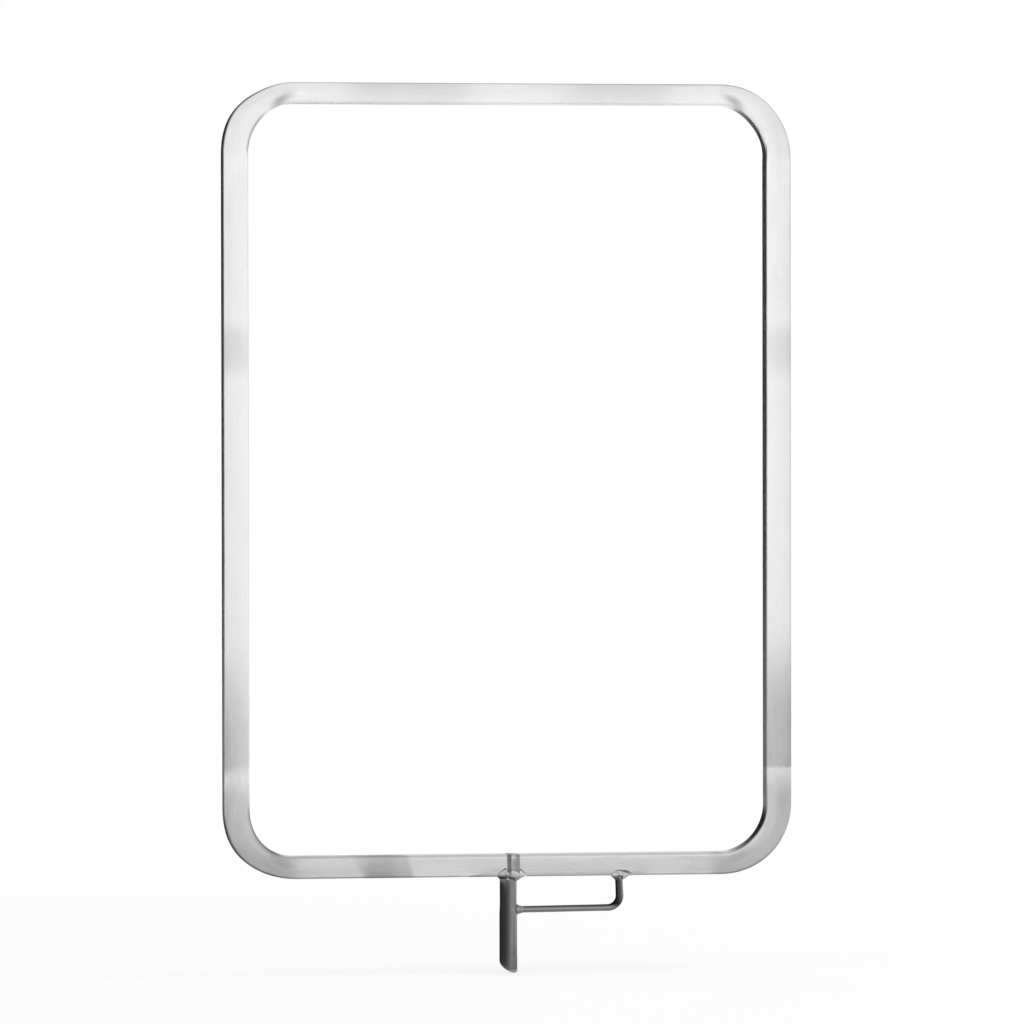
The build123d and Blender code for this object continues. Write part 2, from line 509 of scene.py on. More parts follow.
def cut_material():
    """Sawn end of the pin: parallel blade marks."""
    material, tree, shader = steel_material("sawn_pin_steel", 0.42, 0.35)
    wave = tree.nodes.new("ShaderNodeTexWave")
    wave.bands_direction = "DIAGONAL"
    for key, value in (("Vector", object_place(tree)), ("Scale", 900.0), ("Distortion", 1.5),
                       ("Detail", 3.0)):
        put(wave, key, value)
    blade = wave.outputs["Fac"]
    surface(tree, shader, remap(tree, blade, 0.0, 1.0, 0.36, 0.47),
            remap(tree, blade, 0.0, 1.0, 0.3, 0.42), relief(tree, (blade, 0.00005, 0.5)))
    return material


def weld_material():
    """Weld metal: bright crowns, darker oxide where the bead meets the steel, and painted shade
    and painted highlights that ride on the same vertex attribute as the oxide.
    """
    material, tree, shader = steel_material("weld_steel", 0.7, 0.28)
    place = object_place(tree)
    oxide_and_shade = tree.nodes.new("ShaderNodeAttribute")
    oxide_and_shade.attribute_name = "oxide_and_shade"
    coarse = noise_value(tree, place, 700.0, 4.0, 0.6, 0.5)
    fine = noise_value(tree, place, 3200.0, 3.0, 0.6)
    # oxide, together with the painted shade and highlights, darkens and roughens the weld
    oxide_and_painted_shade = times(tree, oxide_and_shade.outputs["Fac"], remap(tree, coarse, 0.2, 0.6, 0.65, 1.0))
    value = total(tree, [
        remap(tree, coarse, 0.3, 0.7, 0.62, 0.76),
        remap(tree, fine, 0.3, 0.7, -0.04, 0.04),
        times(tree, oxide_and_painted_shade, -0.52)])
    rough = plus(tree, remap(tree, coarse, 0.3, 0.7, 0.2, 0.32), times(tree, oxide_and_painted_shade, 0.18))
    surface(tree, shader, value, rough,
            relief(tree, (coarse, 0.00015, 0.5), (fine, 0.00003, 0.5)))
    return material


# Tube loop

FLAT_STEPS = 8
CORNER_STEPS = 6
RUN_STEP = 3.0
BEND_STEPS = 40

# Shape of each bend: outer wall pushed out at its middle, and early rather than late in the
# bend, inner wall pushed in, inner corner radius, share of the bend where it is drawn most
BEND_FORMS = (
    (0.30, 0.0, 0.3, 2.9, 0.55),
    (0.0, -0.2, 1.2, 3.4, 0.35),
    (0.80, -0.55, 0.5, 2.3, 0.5),
    (1.50, 0.35, -0.3, 2.3, 0.5),
)
BEND_EASE = 0.12
BEND_THIN = 0.35
BEND_DISH = 0.22
BEND_SWELL = 0.10
FACE_WAVE = 0.03

# How far the inner wall stands in from the nominal section on each straight run, and the
# inward offset between which that move sets in
INNER_GROWTH = (-0.9, 0.9, -1.5, 0.9, -0.9)
GROWTH_HALF = 4.0

# Corners of the section from the middle of the outer wall round: signs of depth and inward
# offset, and the direction at which the arc begins
SECTION_CORNERS = ((-1, -1, 3 * QUARTER), (-1, 1, 2 * QUARTER), (1, 1, QUARTER), (1, -1, 0.0))
OUTER_MIDDLE = Vector((0.0, -TUBE_HALF))


def bend_station(bend, share):
    """Distance along the loop, centre x and z, heading, bend, and share of that bend."""
    turn = (bend + share) * QUARTER
    x, z = BEND_CENTRES[bend]
    return (BEND_STARTS[bend] + share * BEND_LENGTH, x + BEND_RADIUS * math.sin(turn),
            z - BEND_RADIUS * math.cos(turn), turn, bend, share)


def run_station(number, travelled):
    """The same on a straight run, with its nearer bend and a share outside 0 to 1."""
    x, z = bend_station(number - 1, 1.0)[1:3] if number else (SEAM_X + SEAM_GAP / 2, BOTTOM_Z)
    heading = number * QUARTER
    left = RUNS[number] - travelled
    if number == len(BEND_STARTS) or (number and travelled < left):
        bend, share = number - 1, 1.0 + travelled / BEND_LENGTH
    else:
        bend, share = number, -left / BEND_LENGTH
    return (RUN_STARTS[number] + travelled, x + travelled * math.cos(heading),
            z + travelled * math.sin(heading), heading, bend, share)


def path_stations():
    stations = []
    for number, run in enumerate(RUNS):
        steps = round(run / RUN_STEP)
        stations += [run_station(number, run * i / steps) for i in range(steps + 1)]
        if number < len(BEND_STARTS):
            stations += [bend_station(number, i / BEND_STEPS) for i in range(1, BEND_STEPS)]
    return stations


def flat_points(start, end, travelled, length, steps):
    return [(start.lerp(end, i / steps), travelled + length * i / steps) for i in range(steps)]


def section_points(inner_radius):
    """Depth and inward offset round the section from the middle of the outer wall, with the
    nominal distance round it for each point."""
    points = []
    travelled, length, steps, previous = 0.0, FLAT / 2, FLAT_STEPS // 2, OUTER_MIDDLE
    for depth_sign, inward_sign, begin in SECTION_CORNERS:
        radius = inner_radius if inward_sign > 0 else OUTER_CORNER_RADIUS
        centre = Vector((depth_sign, inward_sign)) * (TUBE_HALF - radius)
        angles = [begin - QUARTER * i / CORNER_STEPS for i in range(CORNER_STEPS + 1)]
        arc = [centre + radius * Vector((math.cos(a), math.sin(a))) for a in angles]
        points += flat_points(previous, arc[0], travelled, length, steps)
        travelled += length
        points += [(arc[i], travelled + ARC * i / CORNER_STEPS) for i in range(CORNER_STEPS)]
        travelled += ARC
        length, steps, previous = FLAT, FLAT_STEPS, arc[-1]
    return points + flat_points(previous, OUTER_MIDDLE, travelled, FLAT / 2, FLAT_STEPS // 2)


def bend_weight(share, peak):
    """0 on the straight runs, 1 where the bend is drawn in the most."""
    return smooth_step(-BEND_EASE, peak, share) * (1 - smooth_step(peak, 1 + BEND_EASE, share))


def bend_push(middle, early, share):
    t = math.pi * min(1.0, max(0.0, share))
    return middle * math.sin(t) ** 2 + early * math.sin(2 * t) * math.sin(t)


def run_growth(bend, share):
    before, after = INNER_GROWTH[bend:bend + 2]
    return before + (after - before) * smooth_step(0.0, 1.0, share)


def inner_move(offset, growth):
    """Inward move of a section point for the wall thickness drawn on its run."""
    return growth * min(1.0, max(0.0, (offset + GROWTH_HALF) / (2 * GROWTH_HALF)))


def tube_ring(station):
    distance, x, z, heading, bend, share = station
    middle, early, squeeze, inner_radius, peak = BEND_FORMS[bend]
    weight = bend_weight(share, peak)
    shoulder = smooth_step(-0.2, 0.1, share) * (1 - smooth_step(0.9, 1.2, share))
    push, pull = bend_push(middle, early, share), bend_push(squeeze, 0.0, share)
    growth = run_growth(bend, share)
    inward = Vector((-math.sin(heading), 0.0, math.cos(heading)))
    ring = []
    for (depth, offset), travelled in section_points(
            CORNER_RADIUS + (inner_radius - CORNER_RADIUS) * weight):
        thin = BEND_THIN * weight * max(0.0, 1 - (depth / TUBE_HALF) ** 2)
        moved = offset + inner_move(offset, growth)
        moved += smooth_step(2.0, -TUBE_HALF, offset) * (thin - push)
        moved += smooth_step(0.0, TUBE_HALF, offset) * (pull - thin)
        swell = BEND_SWELL * shoulder * smooth_step(-1.0, 4.0, offset)
        swell *= 1 - smooth_step(5.2, TUBE_HALF, offset)
        dish = BEND_DISH * weight * max(0.0, 1 - (offset / TUBE_HALF) ** 2)
        side = math.copysign(1.0, depth)
        wave = FACE_WAVE * noise.noise(Vector((distance * 0.035, offset * 0.12, side * 3 + 7)))
        depth += side * (swell - dish + wave) * smooth_step(0.0, 4.0, abs(depth))
        ring.append(((Vector((x, depth, z)) + inward * moved) * MM, travelled * MM))
    return ring, distance * MM


def frame_tube():
    bm = bmesh.new()
    layer = bm.loops.layers.uv.new("along")
    rings, laps, lengths = [], [], []
    for station in path_stations():
        ring, length = tube_ring(station)
        rings.append([bm.verts.new(place) for place, _ in ring])
        laps.append([travelled for _, travelled in ring] + [AROUND * MM])
        lengths.append(length)
    for k in range(len(rings) - 1):
        (u0, u1), (v0, v1) = lengths[k:k + 2], laps[k:k + 2]
        for i, face in enumerate(bridge(bm, rings[k], rings[k + 1])):
            corners = ((u0, v0[i]), (u0, v0[i + 1]), (u1, v1[i + 1]), (u1, v1[i]))
            for loop, where in zip(face.loops, corners):
                loop[layer].uv = where
    bm.faces.new(rings[0])
    bm.faces.new(rings[-1])
    finish_piece("frame_tube_satin", bm, [tube_material()], "tube_steel", "frame_tube")


# Seam weld

SEAM_HALF = 3.7
SEAM_STEPS = 28
SEAM_AROUND = 220
SEAM_CROWN = 0.2356
SEAM_SKIRT = 0.30
SEAM_ROOT = 0.5
SEAM_HIGHLIGHT_LAP = 9.8


def seam_profile(across, travelled):
    """Height of the seam bead over the tube, with its ripples, and how far it is darkened: oxide
    at its toes, painted shade on its left flank, right half and crown, and a painted highlight at
    one spot.
    """
    share = abs(across) / SEAM_HALF
    wander = 0.2 + 0.22 * noise.noise(Vector((travelled * 0.22, 3.0, 1.0)))
    crown = math.exp(-(abs(across - wander) / 1.5) ** 2.6)
    skirt = SEAM_SKIRT * max(0.0, 1 - share ** 2.2)
    ripple = 0.035 * crown * math.sin(FULL_TURN * (travelled / 1.15 - 0.32 * (across / 1.2) ** 2))
    lump = 0.06 * noise.noise(Vector((travelled * 0.5, across * 0.5, 9.0)))
    height = skirt + SEAM_CROWN * crown + ripple + lump * (1 - share ** 4)
    right = (across - wander) / SEAM_HALF
    left = -right
    # painted shade on the left flank, the right half and the crown
    left_flank_shade = smooth_step(0.18, 0.42, left) * (1 - smooth_step(0.82, 1.02, left))
    right_half_shade = smooth_step(0.0, 0.35, right) * (1 - smooth_step(0.78, 1.0, right))
    # painted highlight lightening one spot of the bead
    painted_highlight = bell(travelled, SEAM_HIGHLIGHT_LAP, 0.9) * bell(across, -0.1, 1.3)
    oxide_and_shade = max(left_flank_shade, max(0.66 * right_half_shade, 0.5 * crown) * (1 - painted_highlight))
    return max(-0.05, height * (1 - smooth_step(0.85, 1.0, share))), oxide_and_shade - 0.35 * painted_highlight


def lap_point(travelled):
    """Place on the square section and the direction out of it, inward offset first."""
    side, rest = divmod(travelled, FLAT + ARC)
    if rest < FLAT:
        outward = Vector((0.0, -1.0))
        place = Vector((rest - FLAT / 2, -TUBE_HALF))
    else:
        angle = (rest - FLAT) / CORNER_RADIUS
        outward = Vector((math.sin(angle), -math.cos(angle)))
        place = Vector((FLAT / 2, CORNER_RADIUS - TUBE_HALF)) + CORNER_RADIUS * outward
    spin = Matrix.Rotation(QUARTER * side, 2)
    return spin @ place, spin @ outward


def seam_weld(material):
    bm = bmesh.new()
    oxide_and_shade_layer = bm.verts.layers.float.new("oxide_and_shade")

    def seam_vert(across, point, oxide_and_shade):
        rise = point.x + inner_move(point.x, INNER_GROWTH[0])
        vert = bm.verts.new(Vector((SEAM_X + across, point.y, BOTTOM_Z + rise)) * MM)
        vert[oxide_and_shade_layer] = oxide_and_shade
        return vert

    loops = []
    for i in range(SEAM_AROUND):
        travelled = AROUND * i / SEAM_AROUND
        place, outward = lap_point(travelled)
        ground = 1.0 - 0.6 * max(0.0, outward.x)
        loop = []
        for k in range(SEAM_STEPS + 1):
            across = SEAM_HALF * (2 * k / SEAM_STEPS - 1)
            height, oxide_and_shade = seam_profile(across, travelled)
            loop.append(seam_vert(across, place + outward * height * ground, oxide_and_shade))
        root = place - outward * SEAM_ROOT
        loops.append(loop + [seam_vert(across, root, 1.0) for across in (SEAM_HALF, -SEAM_HALF)])
    for first, second in zip(loops, loops[1:] + loops[:1]):
        bridge(bm, first, second)
    finish_piece("frame_seam_bead", bm, [material], "weld_steel", "frame_seam_weld")


# Welds round the pin and the brace leg

PIN_WELD_X, PIN_WELD_HALF, PIN_WELD_RISE = 1.4, 7.8, 3.3
LEG_WELD_X, LEG_WELD_HALF, LEG_WELD_RISE = 60.2, 5.4, 2.7
PIN_WELD_VOXEL, LEG_WELD_VOXEL = 0.13, 0.12
SPATTER = (((-1.0, -4.8, 34.6), 1.05),)


def remeshed(node, voxel):
    """A fine even mesh over a CAD weld, as new mesh data."""
    copy = bpy.data.objects.new("weld_copy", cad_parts[node].data.copy())
    bpy.context.scene.collection.objects.link(copy)
    copy.matrix_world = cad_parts[node].matrix_world
    even = copy.modifiers.new("even", "REMESH")
    even.mode = "VOXEL"
    even.voxel_size = voxel * MM
    soft = copy.modifiers.new("soft", "SMOOTH")
    soft.factor = 0.5
    soft.iterations = 3
    graph = bpy.context.evaluated_depsgraph_get()
    mesh = bpy.data.meshes.new_from_object(copy.evaluated_get(graph))
    mesh.transform(copy.matrix_world)
    bpy.data.objects.remove(copy)
    mesh.materials.clear()
    return mesh


def add_spatter(bm, oxide_and_shade_layer, centre, radius):
    """A slightly uneven ball of spatter."""
    middle = Vector(centre) * MM
    ball = bmesh.ops.create_icosphere(bm, subdivisions=3, radius=radius * MM,
                                      matrix=Matrix.Translation(middle))
    for vert in ball["verts"]:
        vert.co += (vert.co - middle) * 0.15 * noise.noise(vert.co * 900.0)
        vert[oxide_and_shade_layer] = 0.1


def formed_weld(name, node, voxel, form, stretch, material, spatter=()):
    """A weld piece: the CAD weld's own volume with ripples, lobes and spatter, drawn
    higher or lower about the underside of the tube."""
    source = remeshed(node, voxel)
    bm = bmesh.new()
    bm.from_mesh(source)
    bpy.data.meshes.remove(source)
    oxide_and_shade_layer = bm.verts.layers.float.new("oxide_and_shade")
    bm.normal_update()
    for vert in bm.verts:
        push, oxide_and_shade = form(vert.co / MM)
        vert[oxide_and_shade_layer] = oxide_and_shade
        place = vert.co / MM + vert.normal * push
        place.z = UNDERSIDE_Z + (place.z - UNDERSIDE_Z) * stretch(place)
        place.y = min(max(place.y, cad_low.y / MM + 0.01), cad_high.y / MM - 0.01)
        vert.co = place * MM
    for centre, radius in spatter:
        add_spatter(bm, oxide_and_shade_layer, centre, radius)
    finish_piece(name, bm, [material], "weld_steel", node)


def arch_share(place, middle, half_width, rise):
    """Height over the tube's underside as a share of the weld's arched edge."""
    edge = rise * math.sqrt(max(0.02, 1 - ((place.x - middle) / half_width) ** 2))
    return (place.z - UNDERSIDE_Z) / edge


def pin_weld_form(place):
    """Outward push in millimetres and darkened share of the weld round the pin: oxide at its
    toes, and painted shade low on its left, over its left side and in its parting crease.
    """
    angle = math.atan2(place.y, place.x - PIN_WELD_X)
    ripple = 0.10 * math.sin(angle * 13.0 + place.z * 1.4)
    lump = 0.22 * noise.noise(place * 0.45)
    parting = -0.3 * bell(place.x, -0.2, 0.7) * smooth_step(0.0, -5.0, place.y)
    rim = smooth_step(0.64, 0.88, arch_share(place, PIN_WELD_X, PIN_WELD_HALF, PIN_WELD_RISE))
    # painted shade in the parting crease on the front
    crease_shade = 0.8 * bell(place.x, 0.1, 0.9) * smooth_step(-2.0, -5.0, place.y)
    # painted shade on the left side
    left_shade = 0.3 * (1 - smooth_step(-2.0, 0.0, place.x))
    low = 0.7 * (1 - smooth_step(33.9, 34.9, place.z))
    shade = (1 - smooth_step(36.2, 37.4, place.z)) * (1 - smooth_step(-0.6, 0.9, place.x))
    return ripple + lump + parting + 0.03, max(rim, low, 0.9 * shade, crease_shade, left_shade)


def pin_weld_stretch(place):
    return 1.62 if place.z > UNDERSIDE_Z else 0.6 + 0.45 * smooth_step(0.5, 3.5, place.x)


def leg_weld_form(place):
    """Outward push in millimetres and darkened share of the weld round the brace leg: oxide along
    its arched edge, and painted shade on its lower left flank.
    """
    angle = math.atan2(place.y, place.x - LEG_WELD_X)
    ripple = 0.13 * math.sin(angle * 9.0 + place.z * 1.8)
    lump = 0.25 * noise.noise(place * 0.6 + Vector((4.0, 1.0, 2.0)))
    wide = 0.25 * smooth_step(59.5, 61.5, place.x)
    rim = smooth_step(0.7 - wide, 0.9 - wide,
                      arch_share(place, LEG_WELD_X, LEG_WELD_HALF, LEG_WELD_RISE))
    # painted shade on the lower left flank
    lower_left_shade = (1 - smooth_step(34.9, 35.9, place.z)) * (1 - smooth_step(58.6, 59.8, place.x))
    return ripple + lump - 0.04, max(rim, 0.9 * lower_left_shade)


def leg_weld_stretch(place):
    return 1.2 if place.z > UNDERSIDE_Z else 1.45


# Weld between the brace and the pin's side

SIDE_WELD_TIP = 8.0
SIDE_WELD_BASE = 3.0
SIDE_WELD_END = 1.84
SIDE_WELD_ROWS = 40
SIDE_WELD_SEGMENTS = 72


def side_weld_point(angle, share):
    """A concave fillet from the pin's wall down to the rod, with stacked ripples, and its
    darkened share: oxide, lifted on one bump as a painted highlight.
    """
    waist = math.sin(math.pi * share)
    lump = noise.noise(Vector((math.cos(angle) * 1.3, math.sin(angle) * 1.3, share * 2.2 + 5.0)))
    ripple = 0.06 * math.sin(FULL_TURN * (3.2 * share + 0.12 * math.cos(angle)))
    # a bump on the fillet, kept free of oxide as a painted highlight
    bead = bell(share, 0.68, 0.13) * bell(angle, 2.9, 0.5)
    radius = SIDE_WELD_END + (SIDE_WELD_BASE - SIDE_WELD_END) * (1 - share) ** 2
    radius += (0.16 * lump + ripple) * waist + 0.3 * bead
    y, rise = radius * math.cos(angle), radius * math.sin(angle)
    wall = math.sqrt(PIN_NECK_RADIUS ** 2 - y * y) - 0.15
    oxide_and_shade = max(0.5, 1 - smooth_step(0.12, 0.3, share)) * (1 - bead)
    return Vector((wall + (SIDE_WELD_TIP - wall) * share, y, BRACE_RUN_Z + rise)), oxide_and_shade


def side_weld(material):
    bm = bmesh.new()
    oxide_and_shade_layer = bm.verts.layers.float.new("oxide_and_shade")
    rings = []
    for row in range(SIDE_WELD_ROWS + 1):
        ring = []
        for i in range(SIDE_WELD_SEGMENTS):
            place, oxide_and_shade = side_weld_point(FULL_TURN * i / SIDE_WELD_SEGMENTS, row / SIDE_WELD_ROWS)
            vert = bm.verts.new(place * MM)
            vert[oxide_and_shade_layer] = oxide_and_shade
            ring.append(vert)
        rings.append(ring)
    skin(bm, rings)
    finish_piece("brace_pin_bead", bm, [material], "weld_steel", "brace_pin_weld")


# Pin and brace

PIN_SEGMENTS = 96
PIN_ROWS = 90
PIN_TOP = UNDERSIDE_Z + 0.3
PIN_LINES = (2600, 2600, 30)
CUT_INSETS = (0.12, 0.3, 0.55, 1.2, 2.4, 3.6, 4.5)
CUT_EDGE_RINGS = 3
CUT_EDGE_INSET = CUT_INSETS[CUT_EDGE_RINGS - 1]
WEAR = 0.02

RUN_POINTS = 60
BEND_POINTS = 24
LEG_POINTS = 24
ROD_SEGMENTS = 32
ROD_LINES = (60, 2600, 60)


def pin_radius(z):
    full = 1 - smooth_step(PIN_TAPER_END, PIN_NECK_END, z)
    return PIN_NECK_RADIUS + (PIN_RADIUS - PIN_NECK_RADIUS) * full


def cut_height(place):
    return PIN_CUT_Z - PIN_CUT_NORMAL.xy.dot(place.xy) / PIN_CUT_NORMAL.z


def pin_ring(bm, share):
    """A ring of the pin's side, level at its top and slanted like the cut at its end."""
    ring = []
    for out in around(PIN_SEGMENTS):
        low = cut_height(out * PIN_RADIUS) + PIN_EDGE
        z = PIN_TOP + (low - PIN_TOP) * share
        wear = WEAR * noise.noise(Vector((out.x * 2.0, out.y * 2.0, z * 0.25)))
        place = out * (pin_radius(z) + min(0.0, wear)) + Vector((0, 0, z))
        ring.append(bm.verts.new(place * MM))
    return ring


def cut_ring(bm, inset):
    """A ring of the sawn end, rounded over at its edge."""
    lift = PIN_EDGE * max(0.0, 1 - inset / CUT_EDGE_INSET) ** 2
    places = [out * (PIN_RADIUS - inset) for out in around(PIN_SEGMENTS)]
    return [bm.verts.new((place + Vector((0, 0, cut_height(place) + lift))) * MM)
            for place in places]


def mounting_pin():
    bm = bmesh.new()
    rings = [pin_ring(bm, row / PIN_ROWS) for row in range(PIN_ROWS + 1)]
    rings += [cut_ring(bm, inset) for inset in CUT_INSETS]
    for number, (upper, lower) in enumerate(zip(rings, rings[1:])):
        for face in bridge(bm, upper, lower):
            face.material_index = int(number >= PIN_ROWS + CUT_EDGE_RINGS)
    bm.faces.new(rings[0])
    bm.faces.new(rings[-1]).material_index = 1
    bar = bar_material("drawn_pin_steel", 0.30, 0.26, PIN_LINES)
    finish_piece("mounting_pin_turned", bm, [bar, cut_material()], "pin_steel", "mounting_pin")


def brace_line():
    """Centre line of the brace rod: along from the pin, round the bend and up the leg."""
    start = Vector((PIN_NECK_RADIUS - 1.0, 0.0, BRACE_RUN_Z))
    run = (BRACE_CORNER - start).normalized()
    leg = (BRACE_TOP - BRACE_CORNER).normalized()
    turn = run.angle(leg)
    bend_start = BRACE_CORNER - run * BRACE_BEND * math.tan(turn / 2)
    centre = bend_start + run.cross(Vector((0, 1, 0))).normalized() * BRACE_BEND
    arm = bend_start - centre
    points = [start.lerp(bend_start, i / RUN_POINTS) for i in range(RUN_POINTS)]
    points += [centre + Matrix.Rotation(-turn * i / BEND_POINTS, 3, "Y") @ arm
               for i in range(BEND_POINTS + 1)]
    bend_end = points[-1]
    return points + [bend_end.lerp(BRACE_TOP, i / LEG_POINTS) for i in range(1, LEG_POINTS + 1)]


def rod_ring(bm, place, tangent, travelled, number):
    """A ring of the rod, flattened in the bend and thicker in the frame's plane on the leg."""
    side = Vector((0, 1, 0))
    up = tangent.cross(side).normalized()
    past = number - RUN_POINTS
    bend = smooth_step(-8, 4, past) * (1 - smooth_step(22, 34, past))
    leg = smooth_step(0, BEND_POINTS, past)
    ring = []
    for out in around(ROD_SEGMENTS):
        wear = WEAR * noise.noise(Vector((travelled * 0.2, out.x, out.y)))
        across = ROD_RADIUS * (1 + 0.05 * bend + 0.16 * leg) + wear
        deep = ROD_RADIUS * (1 - 0.03 * bend + 0.04 * leg) + wear
        ring.append(bm.verts.new((place + side * out.x * deep + up * out.y * across) * MM))
    return ring


def brace_rod():
    bm = bmesh.new()
    points = brace_line()
    rings, travelled = [], 0.0
    for number, place in enumerate(points):
        ahead = points[min(number + 1, len(points) - 1)]
        behind = points[max(number - 1, 0)]
        travelled += (place - behind).length
        rings.append(rod_ring(bm, place, (ahead - behind).normalized(), travelled, number))
    skin(bm, rings)
    bar = bar_material("drawn_rod_steel", 0.38, 0.28, ROD_LINES, leg_painted_shade)
    finish_piece("brace_rod_drawn", bm, [bar], "pin_steel", "brace_rod")


# Stage and light, in metres

FLOOR_Z = cad_low.z - 0.0002
FLOOR_SIZE = 6.0
CARD_Z = FLOOR_Z + 0.002
WORLD_LIGHT = 0.6
LIGHT_TARGET = Vector((0.0, 0.0, 0.2))

# Name, size, place, power
LIGHTS = (
    ("key", 1.6, (1.7, -0.6, 2.1), 28.0),
    ("fill", 1.6, (-1.6, -1.2, 1.9), 10.0),
    ("back", 1.4, (0.2, 1.9, 1.9), 12.0),
)

# Upright cards: name, azimuth (0 in front of the object, 90 to its right), distance, half of
# the angle they cover, low edge, high edge, grey
STANDING_CARDS = (
    ("card_behind_left", -144, 2.0, 38, 0.0, 2.0, 0.02),
    ("card_left", -86, 2.0, 23, 0.0, 1.2, 0.22),
    ("card_behind_right", 132, 2.0, 20, 0.0, 2.2, 0.6),
    ("card_low_front", 6, 0.55, 60, -0.012, 0.07, 0.45),
    ("card_near_front", 40, 0.17, 50, -0.012, 0.03, 0.72),
)

# Level or tilted cards: name, width, depth, place, point they face, grey
LYING_CARDS = (
    ("card_over", 2.0, 1.9, (0, 0.4, 1.7), (0, 0.3, 0.4), 0.6),
    ("card_under", 0.46, 0.16, (-0.01, 0.0, CARD_Z), (-0.01, 0.0, 1.0), 0.42),
    ("card_shelf", 0.09, 0.024, (0.03, -0.02, 0.034), (0.03, -0.02, 1.0), 0.5),
    ("card_mat_far", 0.9, 1.25, (-0.3, 1.475, CARD_Z), (-0.3, 1.475, 1.0), 0.04),
    ("card_mat_near", 0.37, 0.7, (-0.315, 0.5, CARD_Z), (-0.315, 0.5, 1.0), 0.04),
    ("card_shelf_high", 0.24, 0.04, (0.0, -0.032, 0.064), (0.0, -0.032, -1.0), 0.62),
)

# Bent card round the pin: radius, low and high edge, azimuth and grey of its inner side, and
# the grey of its outer side
ARC_RADIUS = 0.022
ARC_EDGES = (-0.015, 0.032)
ARC_STEP = 5
ARC_SHADES = ((-172, 0.05), (-116, 0.06), (-79, 0.09), (-50, 0.10), (-30, 0.14), (-8, 0.23),
              (9, 0.41), (26, 0.62))
ARC_OUTSIDE = 0.75


def stage_object(name, bm, material, place=(0, 0, 0), turn=(0, 0, 0)):
    mesh = bpy.data.meshes.new(name)
    bm.to_mesh(mesh)
    bm.free()
    mesh.materials.append(material)
    made = bpy.data.objects.new(name, mesh)
    made.location = place
    made.rotation_euler = turn
    bpy.context.scene.collection.objects.link(made)
    return made


def plane_mesh(size_x, size_y):
    bm = bmesh.new()
    bm.faces.new([bm.verts.new((x * size_x / 2, y * size_y / 2, 0))
                  for x, y in ((-1, -1), (1, -1), (1, 1), (-1, 1))])
    return bm


def blank_material(name):
    material = bpy.data.materials.new(name)
    material.use_nodes = True
    material.node_tree.nodes.clear()
    return material, material.node_tree, material.node_tree.nodes.new("ShaderNodeOutputMaterial")


def seen_directly(tree):
    """1 for camera, glossy and transmission rays, 0 for the rest."""
    path = tree.nodes.new("ShaderNodeLightPath").outputs
    first = plus(tree, path["Is Camera Ray"], path["Is Glossy Ray"], clamp=True)
    return plus(tree, first, path["Is Transmission Ray"], clamp=True)


def floor_material():
    """Pale paper that fades into the white background away from the object."""
    material, tree, out = blank_material("pale_floor")
    paper = tree.nodes.new("ShaderNodeBsdfDiffuse")
    put(paper, "Color", (0.9, 0.9, 0.9, 1))
    glow = tree.nodes.new("ShaderNodeEmission")
    put(glow, "Strength", 1.0)
    reach = tree.nodes.new("ShaderNodeVectorMath")
    reach.operation = "LENGTH"
    put(reach, 0, object_place(tree))
    share = remap(tree, reach.outputs["Value"], 0.35, 1.1, 0.72, 1.0, soft=True)
    mixed = tree.nodes.new("ShaderNodeMixShader")
    put(mixed, 0, times(tree, share, seen_directly(tree)))
    put(mixed, 1, paper.outputs[0])
    put(mixed, 2, glow.outputs[0])
    put(out, 0, mixed.outputs[0])
    return material


def card_material(name, value):
    """A matt studio card of an even grey, unlit so that it reflects as written."""
    material, tree, out = blank_material(name + "_grey")
    card = tree.nodes.new("ShaderNodeEmission")
    put(card, "Color", (value, value, value, 1))
    put(out, 0, card.outputs[0])
    return material


def reflection_only(made):
    made.visible_camera = False
    made.visible_diffuse = False
    made.visible_shadow = False
    made.visible_transmission = False


def lying_card(name, width, depth, place, facing, value):
    """A card that only shows in the metal's reflections."""
    turn = (Vector(facing) - Vector(place)).to_track_quat("Z", "Y").to_euler()
    reflection_only(stage_object(name, plane_mesh(width, depth), card_material(name, value),
                                 place, turn))


def standing_card(name, azimuth, distance, half_angle, low, high, value):
    angle = math.radians(azimuth)
    width = 2 * distance * math.tan(math.radians(half_angle))
    middle = (low + high) / 2
    place = (distance * math.sin(angle), -distance * math.cos(angle), middle)
    lying_card(name, width, high - low, place, (0, 0, middle), value)


def arc_columns():
    """Azimuth and grey of each column of the bent card, graded evenly."""
    columns = []
    for (first, dark), (second, light) in zip(ARC_SHADES, ARC_SHADES[1:]):
        steps = max(1, round((second - first) / ARC_STEP))
        columns += [(first + (second - first) * i / steps, dark + (light - dark) * i / steps)
                    for i in range(steps)]
    return columns + [ARC_SHADES[-1]]


def arc_material(name):
    material = card_material(name, 1.0)
    tree = material.node_tree
    shade = tree.nodes.new("ShaderNodeAttribute")
    shade.attribute_name = "glow"
    inside = tree.nodes.new("ShaderNodeNewGeometry").outputs["Backfacing"]
    outer_light = times(tree, minus(tree, 1.0, inside), ARC_OUTSIDE)
    inner_light = times(tree, inside, shade.outputs["Fac"])
    put(tree.nodes["Emission"], "Strength", plus(tree, outer_light, inner_light))
    return material


def pin_arc(name):
    bm = bmesh.new()
    glow = bm.verts.layers.float.new("glow")
    pairs = []
    for azimuth, shade in arc_columns():
        angle = math.radians(azimuth)
        x, y = ARC_RADIUS * math.sin(angle), -ARC_RADIUS * math.cos(angle)
        pair = [bm.verts.new((x, y, z)) for z in ARC_EDGES]
        for vert in pair:
            vert[glow] = shade
        pairs.append(pair)
    for (a, b), (c, d) in zip(pairs, pairs[1:]):
        bm.faces.new((a, c, d, b))
    reflection_only(stage_object(name, bm, arc_material(name)))


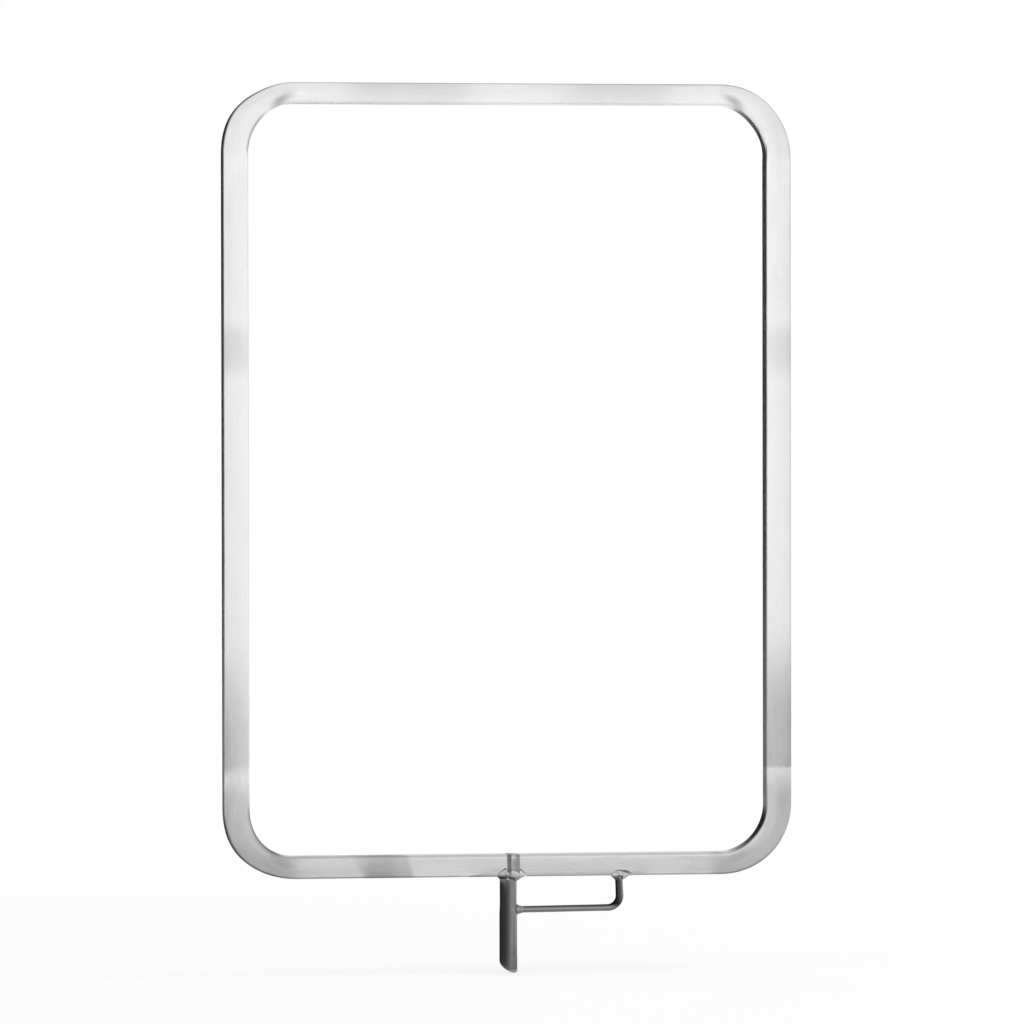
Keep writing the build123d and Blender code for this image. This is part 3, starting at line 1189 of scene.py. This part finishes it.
def soft_light(name, size, place, power):
    data = bpy.data.lights.new(name, "AREA")
    data.shape = "SQUARE"
    data.size = size
    data.energy = power
    made = bpy.data.objects.new(name, data)
    made.location = place
    made.rotation_euler = (LIGHT_TARGET - Vector(place)).to_track_quat("-Z", "Y").to_euler()
    made.visible_glossy = False
    bpy.context.scene.collection.objects.link(made)


def studio():
    world = bpy.data.worlds.new("studio")
    bpy.context.scene.world = world
    world.use_nodes = True
    tree = world.node_tree
    sky = tree.nodes["Background"]
    put(sky, "Color", (1, 1, 1, 1))
    put(sky, "Strength", remap(tree, seen_directly(tree), 0.0, 1.0, WORLD_LIGHT, 1.0))
    stage_object("floor", plane_mesh(FLOOR_SIZE, FLOOR_SIZE), floor_material(), (0, 0, FLOOR_Z))
    for row in LIGHTS:
        soft_light(*row)
    for row in STANDING_CARDS:
        standing_card(*row)
    for row in LYING_CARDS:
        lying_card(*row)
    pin_arc("card_pin_arc")


# Camera: distance and aim in millimetres, angles in degrees, focal length in picture widths

CAMERA_DISTANCE = 3400.0
CAMERA_YAW = 8.0
CAMERA_PITCH = -0.86
CAMERA_ROLL = -0.10
CAMERA_AIM = Vector((2.38, 0.0, 230.05))
CAMERA_FOCAL = 6382.0 / 1024
SENSOR_WIDTH = 36.0
FAR_CLIP = 100.0


def camera():
    yaw, pitch, roll = (math.radians(v) for v in (CAMERA_YAW, CAMERA_PITCH, CAMERA_ROLL))
    ahead = Vector((math.sin(yaw) * math.cos(pitch), math.cos(yaw) * math.cos(pitch),
                    math.sin(pitch)))
    level = Vector((math.cos(yaw), -math.sin(yaw), 0))
    upright = level.cross(ahead)
    right = level * math.cos(roll) + upright * math.sin(roll)
    up = upright * math.cos(roll) - level * math.sin(roll)
    data = bpy.data.cameras.new("camera")
    data.sensor_width = SENSOR_WIDTH
    data.lens = CAMERA_FOCAL * SENSOR_WIDTH
    data.clip_end = FAR_CLIP
    made = bpy.data.objects.new("camera", data)
    turn = Matrix((right, up, -ahead)).transposed().to_4x4()
    made.matrix_world = Matrix.Translation((CAMERA_AIM - ahead * CAMERA_DISTANCE) * MM) @ turn
    bpy.context.scene.collection.objects.link(made)
    bpy.context.scene.camera = made


def object_pieces():
    frame_tube()
    weld = weld_material()
    seam_weld(weld)
    formed_weld("pin_weld_bead", "pin_weld", PIN_WELD_VOXEL, pin_weld_form, pin_weld_stretch,
                weld, SPATTER)
    formed_weld("brace_frame_bead", "brace_frame_weld", LEG_WELD_VOXEL, leg_weld_form,
                leg_weld_stretch, weld)
    side_weld(weld)
    mounting_pin()
    brace_rod()


camera()
studio()
object_pieces()
bpy.context.scene.view_settings.view_transform = "Standard"
